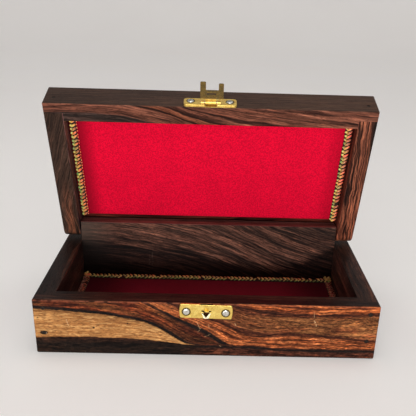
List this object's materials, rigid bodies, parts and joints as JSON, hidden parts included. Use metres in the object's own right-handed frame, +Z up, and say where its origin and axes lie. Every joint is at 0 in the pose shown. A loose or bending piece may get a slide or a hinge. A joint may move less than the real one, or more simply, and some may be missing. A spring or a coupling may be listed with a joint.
{
  "type": "wooden storage box",
  "caption": "Low rectangular hardwood box whose lid turns on pins in a tall back board, velvet linings edged with braid, and a brass hasp and catch on the front.",
  "frame": {"origin": "middle of the underside of the base, on the surface that the box stands on", "axes": "+X to the right along the front, +Y to the back where the tall back board is, +Z up; the lid is stored open as in the picture"},
  "size_m": [0.2044, 0.1187, 0.1508],
  "materials": {
    "hardwood": "worn satin polish, dark streaked figure",
    "lid_velvet": "short-pile velvet on card",
    "floor_velvet": "short-pile velvet on card",
    "braid": "woven trimming in gold, green and red",
    "nail_steel": "dulled",
    "latch_screws": "bright, domed",
    "pin_steel": "plain wire",
    "latch_brass": "lightly worn sheet"
  },
  "bodies": {
    "base": {"base_front_board": "hardwood", "base_back_board": "hardwood", "base_left_board": "hardwood", "base_right_board": "hardwood", "base_bottom_panel": "hardwood", "base_floor_lining": "floor_velvet", "base_trim_back": "braid", "base_trim_front": "braid", "base_trim_left": "braid", "base_trim_right": "braid", "base_front_nails": "nail_steel", "base_back_nails": "nail_steel", "base_bottom_pins": "nail_steel", "pivot_pin_left": "nail_steel", "pivot_pin_right": "nail_steel", "catch_plate": "latch_brass", "catch_plate_screws": "latch_screws"},
    "lid": {"lid_front_board": "hardwood", "lid_left_board": "hardwood", "lid_right_board": "hardwood", "lid_top_panel": "hardwood", "lid_lining": "lid_velvet", "lid_trim_left": "braid", "lid_trim_right": "braid", "lid_front_nails": "nail_steel", "hasp_plate": "latch_brass", "hasp_plate_screws": "latch_screws", "hasp_pin": "pin_steel"},
    "hasp": {"hasp": "latch_brass"}
  },
  "joints": [
    {"name": "lid_hinge", "type": "hinge", "parent": "base", "child": "lid", "pos_m": [0, 0.0475, 0.04205], "axis": [-1, 0, 0], "range_deg": [-72.5, 30]},
    {"name": "hasp_hinge", "type": "hinge", "parent": "lid", "child": "hasp", "pos_m": [-0.0006, 0.01213, 0.13827], "axis": [-1, 0, 0], "range_deg": [-90, 90]}
  ]
}
